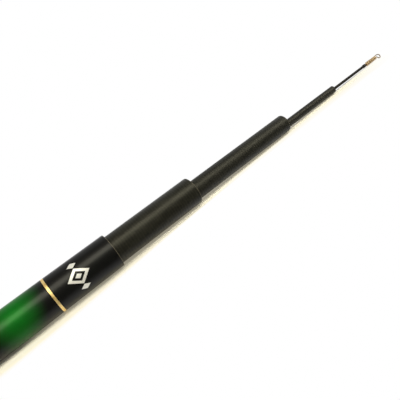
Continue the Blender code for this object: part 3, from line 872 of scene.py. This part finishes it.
GRIP = Seat("grip_sleeve")
rows = round(GRIP.length / GRIP_ROW)
heights = [GRIP.length * row / rows for row in range(1, rows)]
skin = [(height, GRIP.outer_at(height)) for height in heights]
shape = turned(sleeve(GRIP, GRIP_ROUNDING, skin), steps=GRIP_STEPS)
for corner in shape.verts:
    along, radius = corner.co.x, corner.co.yz.length
    if radius > GRIP.outer_at(along) - GRIP_SKIN:
        relief = cord_relief(along, math.atan2(corner.co.z, corner.co.y))
        calm = smoothstep(min(along, GRIP.length - along) / GRIP_CALM_END)
        move = calm * (CORD_PROUD - CORD_HEIGHT * (1 - relief))
        corner.co.yz *= (radius + move) / radius
lay(shape, GRIP)
finished(shape, "grip_cover", "butt", "grip_sleeve", [grip_rubber()])

# %% [markdown]
# ## Threads
# The cap screws into an alloy ring that is glued in the end of the butt. A thread is one V ridge wound round
# a cylinder. The spin operator can also move along its axis while it turns, which makes exactly that. The
# ridge fades in and out over its first and last quarter turn, as a cut thread does.

# %% Winding a thread
THREAD_PITCH = 1.6 * MM
THREAD_HEIGHT = 0.62 * MM
THREAD_STEPS = 48
THREAD_V = ((-0.62, -0.12), (-0.12, 1.0), (0.12, 1.0), (0.62, -0.12))
THREAD_FADE = 0.25
THREAD_SINK = 0.05 * MM
THREAD_TURN = math.pi / 32


def add_thread(shape, start, root, turns, phase, side):
    """Winds a ridge on a piece that is already turned. Side is 1 on the outside, and -1 in a bore."""
    ridge = bmesh.new()
    corners = []
    for along, height in THREAD_V:
        radius = root + side * height * THREAD_HEIGHT
        corners.append(ridge.verts.new(round_the_rod(radius, phase, start + along * MM)))
    ridge.faces.new(corners)
    spun(ridge, FULL_TURN * turns, round(turns * THREAD_STEPS), dvec=(THREAD_PITCH / THREAD_STEPS, 0, 0))
    for corner in ridge.verts:
        share = (math.atan2(corner.co.y, -corner.co.z) - phase) / FULL_TURN
        turn = share + round((corner.co.x - start) / THREAD_PITCH - share)
        fade = smoothstep(min(turn, turns - turn) / THREAD_FADE)
        radius = corner.co.yz.length
        proud = side * (radius - root)
        if proud > 0:
            corner.co.yz *= (root + side * (proud * fade - THREAD_SINK * (1 - fade))) / radius
    open_edges = [edge for edge in ridge.edges if edge.is_boundary]
    if open_edges:
        bmesh.ops.holes_fill(ridge, edges=open_edges)
    bmesh.ops.recalc_face_normals(ridge, faces=ridge.faces)
    places = [corner.co.x for corner in ridge.verts]
    print("thread from", round(min(places), 5), "to", round(max(places), 5))
    wound = bpy.data.meshes.new("ridge")
    ridge.to_mesh(wound)
    ridge.free()
    shape.from_mesh(wound)
    bpy.data.meshes.remove(wound)


# %% [markdown]
# ## The threaded ring
# It is machined from aluminium: a flange that finishes the end of the grip, a recess for the seal, and the
# thread in its bore. Turned metal keeps the fine spiral of the tool, so its roughness follows close rings.

# %% Threaded ring
INSERT_LOW, INSERT_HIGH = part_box("thread_insert")
FLANGE_TOP = INSERT_LOW.x + 3.0 * MM
FLANGE_RADIUS = 13.4 * MM
RECESS_RADIUS = 11.675 * MM
RECESS_FLOOR = INSERT_LOW.x + 1.9 * MM
INSERT_BORE = 10.425 * MM
INSERT_TUBE = INSERT_BORE + 0.85 * MM
INSERT_THREAD_START = 17.15 * MM
INSERT_THREAD_TURNS = 6.0


def insert_alloy():
    material, tree, place = new_material("insert alloy")
    rings = rings_at(tree, place, 0.11 * MM, 0.1)
    smear = handling_at(tree, place, 0.3 * MM)["Smear"]
    look = {
        "Base Color": blend(tree, smear, (0.50, 0.50, 0.51, 1), (0.66, 0.66, 0.67, 1)),
        "Metallic": 1.0,
        "Roughness": sums(tree, "MULTIPLY_ADD", rings, 0.14, 0.28),
    }
    return surface(material, look, rings, 0.006 * MM)


profile = [
    (INSERT_HIGH.x, INSERT_TUBE, SMALL_ROUNDING),
    (FLANGE_TOP, INSERT_TUBE),
    (FLANGE_TOP, FLANGE_RADIUS, SMALL_ROUNDING),
    (INSERT_LOW.x, FLANGE_RADIUS, 0.35 * MM),
    (INSERT_LOW.x, RECESS_RADIUS, FINE_ROUNDING),
    (RECESS_FLOOR, RECESS_RADIUS),
    (RECESS_FLOOR, INSERT_BORE, FINE_ROUNDING),
    (INSERT_HIGH.x, INSERT_BORE, SMALL_ROUNDING),
]
shape = turned(profile)
add_thread(shape, INSERT_THREAD_START, INSERT_BORE, INSERT_THREAD_TURNS, THREAD_TURN, -1)
finished(shape, "threaded_ring", "butt", "thread_insert", [insert_alloy()])

# %% [markdown]
# ## The screw cap
# The cap is moulded plastic: a head with finger flutes, and a hollow spigot that carries the thread. It is
# turned first, with close rows on the head's side, whose corners then move in to make the flutes.

# %% Screw cap
CAP_LOW, CAP_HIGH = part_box("butt_cap")
CAP_RADIUS = 13.7 * MM
CAP_SHOULDER = 14.0 * MM
CAP_SPIGOT = 9.475 * MM
CAP_CUP = CAP_SPIGOT - 1.7 * MM
CAP_CUP_FLOOR = 5.5 * MM
CAP_RECESS = 9.6 * MM
CAP_RECESS_FLOOR = 2.8 * MM
CAP_STEPS = 320
CAP_ROW = 0.45 * MM
CAP_EDGE = 0.8 * MM
FLUTES = 20
FLUTE_WIDTH = 2.7 * MM
FLUTE_DEPTH = 0.68 * MM
FLUTE_MARGIN = 1.5 * MM
FLUTE_FADE = 1.2 * MM
CAP_THREAD_START = 16.85 * MM
CAP_THREAD_TURNS = 5.0
CAP_THREAD_PHASE = THREAD_TURN - FULL_TURN * 0.6875


def cap_plastic():
    material, tree, place = new_material("cap plastic")
    grain = speckle(tree, place, 4200.0, 2.0)
    handling = handling_at(tree, place, 0.35 * MM)
    plastic = blend(tree, handling["Smear"], grey(0.010), (0.022, 0.022, 0.021, 1))
    look = {
        "Base Color": tinted(tree, plastic, handling["Dust"], 0.2, (0.09, 0.09, 0.085, 1)),
        "Roughness": sums(tree, "MULTIPLY_ADD", grain, 0.12, 0.34),
        "Specular IOR Level": 0.4,
    }
    return surface(material, look, grain, 0.008 * MM)


def flute_depth(along, angle):
    """How far a flute is pressed in at that place on the head's side."""
    share = angle / FULL_TURN * FLUTES - 0.5
    off = abs(share - round(share)) * FULL_TURN * CAP_RADIUS / FLUTES
    across = max(0.0, math.cos(math.pi * min(off / FLUTE_WIDTH, 0.5)))
    ends = min(along - CAP_LOW.x, CAP_SHOULDER - along) - FLUTE_MARGIN
    return FLUTE_DEPTH * across ** 1.5 * smoothstep(ends / FLUTE_FADE)


rows = round((CAP_SHOULDER - CAP_LOW.x) / CAP_ROW)
side = [CAP_SHOULDER + (CAP_LOW.x - CAP_SHOULDER) * row / rows for row in range(rows + 1)]
side = [(along, CAP_RADIUS) for along in side if CAP_LOW.x + CAP_EDGE < along < CAP_SHOULDER - CAP_EDGE]
profile = [
    (CAP_CUP_FLOOR, 0.0),
    (CAP_CUP_FLOOR, CAP_CUP, 0.8 * MM),
    (CAP_HIGH.x, CAP_CUP, SMALL_ROUNDING),
    (CAP_HIGH.x, CAP_SPIGOT, SMALL_ROUNDING),
    (CAP_SHOULDER, CAP_SPIGOT),
    (CAP_SHOULDER, CAP_RADIUS, CAP_EDGE),
    *side,
    (CAP_LOW.x, CAP_RADIUS, CAP_EDGE),
    (CAP_LOW.x, CAP_RECESS, SMALL_ROUNDING),
    (CAP_RECESS_FLOOR, CAP_RECESS),
    (CAP_RECESS_FLOOR, 0.0),
]
shape = turned(profile, steps=CAP_STEPS, closed=False)
for corner in shape.verts:
    radius = corner.co.yz.length
    if radius > CAP_RADIUS - NEAR:
        depth = flute_depth(corner.co.x, math.atan2(corner.co.y, -corner.co.z))
        corner.co.yz *= (radius - depth) / radius
add_thread(shape, CAP_THREAD_START, CAP_SPIGOT, CAP_THREAD_TURNS, CAP_THREAD_PHASE, 1)
finished(shape, "screw_cap", "cap", "butt_cap", [cap_plastic()])

# %% [markdown]
# ## Rubber: seal, plug and foot
# A ring seals the cap, a plug in the spigot's mouth carries the inner sections so that they don't rattle, and
# a disc let into the face takes the knock when the rod is stood on the ground. All three are turned, and
# share one rubber.

# %% Rubber of the seal, the plug and the foot
def seal_rubber():
    material, tree, place = new_material("seal rubber")
    handling = handling_at(tree, place, 0.3 * MM)
    bloom = speckle(tree, place, 2600.0, 3.0)
    rubber = blend(tree, bloom, grey(0.012), (0.026, 0.026, 0.025, 1))
    look = {
        "Base Color": tinted(tree, rubber, handling["Dust"], 0.4, (0.11, 0.105, 0.095, 1)),
        "Roughness": sums(tree, "MULTIPLY_ADD", handling["Smear"], -0.1, 0.72),
        "Specular IOR Level": 0.3,
    }
    return surface(material, look, bloom, 0.02 * MM)


RUBBER = seal_rubber()

# %% Seal
SEAL_X = 15.1 * MM
SEAL_RADIUS = 10.575 * MM
SEAL_WIRE = 0.8 * MM
SEAL_SIDES = 20

profile = []
for step in range(SEAL_SIDES):
    angle = FULL_TURN * step / SEAL_SIDES
    profile.append((SEAL_X + SEAL_WIRE * math.sin(angle), SEAL_RADIUS + SEAL_WIRE * math.cos(angle)))
finished(turned(profile), "seal_ring", "cap_seal", "cap_o_ring", [RUBBER])

# %% Plug
PLUG_LOW, PLUG_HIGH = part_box("cap_cushion")
PLUG_STEM = 7.575 * MM
PLUG_PAD = 9.325 * MM
PLUG_PAD_LOW = PLUG_HIGH.x - 2.7 * MM
PLUG_ROUNDING = 0.6 * MM

profile = [
    (PLUG_HIGH.x, 0.0),
    (PLUG_HIGH.x, PLUG_PAD, PLUG_ROUNDING),
    (PLUG_PAD_LOW, PLUG_PAD, SMALL_ROUNDING),
    (PLUG_PAD_LOW, PLUG_STEM),
    (PLUG_LOW.x, PLUG_STEM, PLUG_ROUNDING),
    (PLUG_LOW.x, 0.0),
]
finished(turned(profile, closed=False), "cap_plug", "cap", "cap_cushion", [RUBBER])

# %% Foot
FOOT_RADIUS = 9.3 * MM
FOOT_THICKNESS = 2.5 * MM
FOOT_GROOVE = 6.0 * MM
FOOT_GROOVE_HALF = 0.5 * MM

profile = [
    (FOOT_THICKNESS, 0.0),
    (FOOT_THICKNESS, FOOT_RADIUS),
    (0.0, FOOT_RADIUS, 0.4 * MM),
    (0.0, FOOT_GROOVE + FOOT_GROOVE_HALF, FINE_ROUNDING),
    (FOOT_GROOVE_HALF, FOOT_GROOVE, FINE_ROUNDING),
    (0.0, FOOT_GROOVE - FOOT_GROOVE_HALF, FINE_ROUNDING),
    (0.0, 0.0),
]
finished(turned(profile, closed=False), "cap_foot", "cap", "cap_bumper", [RUBBER])

# %% [markdown]
# ## The floor
# The rod rests on the front end of its grip and on the butt mouth, so the floor is a plane through the
# lowest points of those two. Past the tip it bends down a little, to stay clear of the sections that are
# pulled out. Under the thin end a narrow fold of the paper nearly touches the rod, because its shadow hugs
# it in the photograph. The fold vanishes inside a thicker section that is pulled out over it. The side view
# is a few corners, and extrusions carry it across.

# %% Side view of the floor
FLOOR_START_X = -6.0
FLOOR_END_X = 9.0
FLOOR_LOW_Z = -16 * MM
FLOOR_BEND_X = 1.24
FLOOR_LOW_X = 1.8
FLOOR_WIDTH = 12.0
FOLD_TOPS = ((1.020, -9.35), (1.104, -7.60), (1.158, -6.25), (1.212, -5.45))
FOLD_Y = (-4.8, -4.0, 1.5, 2.4)

grip_front_low = -GRIP.outer(GRIP.length) - CORD_PROUD
mouth_low = -BUTT.outer(BUTT.length)
floor_slope = (mouth_low - grip_front_low) / (MOUTH_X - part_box("grip_sleeve")[1].x)
flat_x = [FLOOR_START_X, MOUTH_X] + [x for x, _ in FOLD_TOPS] + [FLOOR_BEND_X]
side_view = [(x, mouth_low + floor_slope * (x - MOUTH_X)) for x in flat_x]
side_view += [(FLOOR_LOW_X, FLOOR_LOW_Z), (FLOOR_END_X, FLOOR_LOW_Z)]
print("floor slope", round(floor_slope, 5))

# %% Floor
shape = bmesh.new()
corners = [shape.verts.new((x, -FLOOR_WIDTH / 2, z)) for x, z in side_view]
front = [shape.edges.new((second, first)) for first, second in zip(corners, corners[1:])]
for y in [place * MM for place in FOLD_Y] + [FLOOR_WIDTH / 2]:
    swept = bmesh.ops.extrude_edge_only(shape, edges=front)["geom"]
    front = [item for item in swept if isinstance(item, bmesh.types.BMEdge)]
    for corner in {corner for edge in front for corner in edge.verts}:
        corner.co.y = y
for corner in shape.verts:
    in_fold = any(abs(corner.co.y - place * MM) < NEAR for place in FOLD_Y[1:3])
    for x, top in FOLD_TOPS:
        if in_fold and abs(corner.co.x - x) < NEAR:
            corner.co.z = top * MM
if sum(face.normal.z for face in shape.faces) < 0:
    bmesh.ops.reverse_faces(shape, faces=shape.faces)
floor_mesh = bpy.data.meshes.new("floor")
shape.to_mesh(floor_mesh)
shape.free()
floor = placed("floor", floor_mesh)
print("floor has", len(floor_mesh.polygons), "faces")

# %% [markdown]
# ## White paper, with painted light near the rod
# Near the rod the floor is lit like any matt paper, so that it keeps the rod's shadow, but a share of white
# glow is mixed in everywhere there, and more near the butt mouth: painted light that fills the shadow.
# Further off it turns into plain white, for the camera and in reflections. The lit strip narrows with the
# rod. On its near side the paper is tinted warm
# and its glow is warm: a painted warm edge of the shadow. Under the thin end it glows plain white, which
# paints the shadow out there, and further out it is wide and glows at seven tenths, for the sections that are
# pulled out, whose shadows stay faint. In reflections only, the paper is painted darker towards the dim room
# behind the camera, which leaves the rod's face black below its pale streak.

# %% Strip of lit paper along the rod
STRIP_AT_BUTT = 11 * MM
STRIP_AT_TIP = 3.5 * MM
STRIP_PAST_TIP = 30 * MM
STRIP_SHIFT = 0.4
NARROWING = (MOUTH_X - 0.09, MOUTH_X + 0.11)
PAST_TIP = (1.40, 1.55)
ENDS = ((5.2, 5.3), (0.0, -0.06))

paper, tree, place = new_material("white paper")
tree.nodes.remove(tree.nodes["Principled BSDF"])
rays = add(tree, "ShaderNodeLightPath", {})
x, y, _ = axes(tree, place)
past_tip = smooth_range(tree, x, *PAST_TIP)
strip = smooth_range(tree, x, *NARROWING, STRIP_AT_BUTT, STRIP_AT_TIP)
across = sums(tree, "DIVIDE", y, sums(tree, "MULTIPLY_ADD", past_tip, STRIP_PAST_TIP, strip))
from_middle = sums(tree, "ABSOLUTE", sums(tree, "SUBTRACT", across, STRIP_SHIFT))
past_ends = largest(tree, *[smooth_range(tree, x, *end) for end in ENDS])

# %% Where the paper glows white: the backdrop, and painted fill in the rod's shadow
STRIP_EDGE = (1.25, 1.65)
# Painted light: a least share of white glow, and more near the butt mouth, fills the rod's shadow on the
# paper.
PAINTED_FILL_LEAST = 0.08
PAINTED_FILL_NEAR_MOUTH = 0.28
PAINTED_FILL_PAST_TIP = 0.7
PAINTED_FILL_SPAN_AT_MOUTH = (MOUTH_X - 0.085, MOUTH_X - 0.035)
# Painted light: under the thin end the glow goes to full white and paints the shadow out; past the tip it
# stays at seven tenths, so the shadow there is faint.
SHADOW_PAINTED_OUT_SPAN = (MOUTH_X + 0.18, MOUTH_X + 0.27)

outside = smooth_range(tree, from_middle, *STRIP_EDGE)
painted_fill_near_mouth = smooth_range(tree, x, *PAINTED_FILL_SPAN_AT_MOUTH, 0.0, PAINTED_FILL_NEAR_MOUTH)
shadow_painted_out = smooth_range(tree, x, *SHADOW_PAINTED_OUT_SPAN)
painted_fill_past_thin_end = sums(tree, "MULTIPLY_ADD", past_tip, PAINTED_FILL_PAST_TIP - 1.0, shadow_painted_out)
white = largest(tree, outside, past_ends, PAINTED_FILL_LEAST, painted_fill_near_mouth, painted_fill_past_thin_end)
seen = largest(tree, *[rays[f"Is {kind} Ray"] for kind in ("Glossy", "Transmission", "Camera")])
white = sums(tree, "MULTIPLY", white, seen)

# %% Colours of the paper, with painted warmth near the rod
# Painted warm light: near the rod the paper is tinted warm on its near side and its glow is warm, for a warm
# edge of the shadow.
PAINTED_WARM_GLOW_EDGE = (1.35, 1.90)
PAINTED_WARMTH_EDGE = 0.4
# Painted reflection: in reflections only, the paper's near side is painted darker.
DIM_WAY = -0.028
DIM_SHIFT_PLACE = (MOUTH_X + 0.02, MOUTH_X - 0.02)
DIM_SHIFT_AT_BUTT = -0.007
DIM_MOST = 0.96

dim_shift = smooth_range(tree, x, *DIM_SHIFT_PLACE, 0.0, DIM_SHIFT_AT_BUTT)
dim = smooth_range(tree, sums(tree, "SUBTRACT", y, dim_shift), 0.0, DIM_WAY, 0.0, DIM_MOST)
dim = sums(tree, "MULTIPLY", dim, rays["Is Glossy Ray"])
painted_warmth = smooth_range(tree, across, PAINTED_WARMTH_EDGE, -PAINTED_WARMTH_EDGE)
paper_with_painted_warmth = blend(tree, painted_warmth, (0.93, 0.95, 1.0, 1), (0.96, 0.94, 0.86, 1))
plain = largest(tree, smooth_range(tree, from_middle, *PAINTED_WARM_GLOW_EDGE), past_ends, shadow_painted_out)
backdrop_and_painted_warm_glow = blend(tree, plain, (1.0, 0.92, 0.70, 1), grey(1))
matt = add(tree, "ShaderNodeBsdfDiffuse", {"Color": blend(tree, dim, paper_with_painted_warmth, grey(0))})[0]
glow = add(tree, "ShaderNodeEmission", {"Color": blend(tree, dim, backdrop_and_painted_warm_glow, grey(0))})[0]
both = add(tree, "ShaderNodeMixShader", {0: white, 1: matt, 2: glow})[0]
fill(tree, tree.nodes["Material Output"], {"Surface": both})
floor_mesh.materials.append(paper)
print("paper has", len(tree.nodes), "nodes")

# %% [markdown]
# ## Light
# One long soft lamp hangs nearly overhead, a little to the camera's side, and gives the rod its one pale
# streak. The room behind the camera is dim, which is why the rod's face stays black below that streak, and
# the backdrop beyond the rod is white.

# %% Lamps
LAMP_MIDDLE_X = 2.4
LAMP_LENGTH = 6.4


def strip_lamp(name, angle, distance, width, radiance, colour):
    """A soft lamp over the rod, at an angle round it: 0 is level on the near side, 90 is overhead."""
    lamp = bpy.data.lights.new(name, "AREA")
    lamp.shape = "RECTANGLE"
    lamp.size, lamp.size_y = width, LAMP_LENGTH
    lamp.energy = radiance * math.pi * width * LAMP_LENGTH
    lamp.color = colour
    holder = placed(name, lamp)
    holder.visible_camera = False
    turn = math.radians(angle)
    rod, way = Vector((1, 0, 0)), Vector((0, -math.cos(turn), math.sin(turn)))
    holder.location = LAMP_MIDDLE_X * rod + distance * way
    holder.rotation_euler = Matrix((way.cross(rod), rod, way)).transposed().to_euler()
    print(name, "uses", round(lamp.energy, 1), "W")


strip_lamp("key lamp", angle=62, distance=0.5, width=0.25, radiance=4.4, colour=(1.0, 0.955, 0.78))
strip_lamp("far fill lamp", angle=135, distance=1.4, width=0.6, radiance=0.52, colour=(1.0, 1.0, 1.0))

# %% World
DIM_ROOM = grey(0.04)
DIM_CEILING = grey(0.13)
BACKDROP = grey(0.90)
BACKDROP_RISE = (-0.3, 0.6)
CEILING_RISE = (0.15, 0.60)

world = bpy.data.worlds.new("studio")
world.use_nodes = True
bpy.context.scene.world = world
tree = world.node_tree
_, y, z = axes(tree, add(tree, "ShaderNodeTexCoord", {})["Generated"])
sky = blend(tree, smooth_range(tree, y, *BACKDROP_RISE), DIM_ROOM, BACKDROP)
sky = blend(tree, smooth_range(tree, z, *CEILING_RISE), sky, DIM_CEILING)
sky = blend(tree, add(tree, "ShaderNodeLightPath", {})["Is Camera Ray"], sky, grey(1))
fill(tree, tree.nodes["Background"], {"Color": sky, "Strength": 1.0})
print("world has", len(tree.nodes), "nodes")
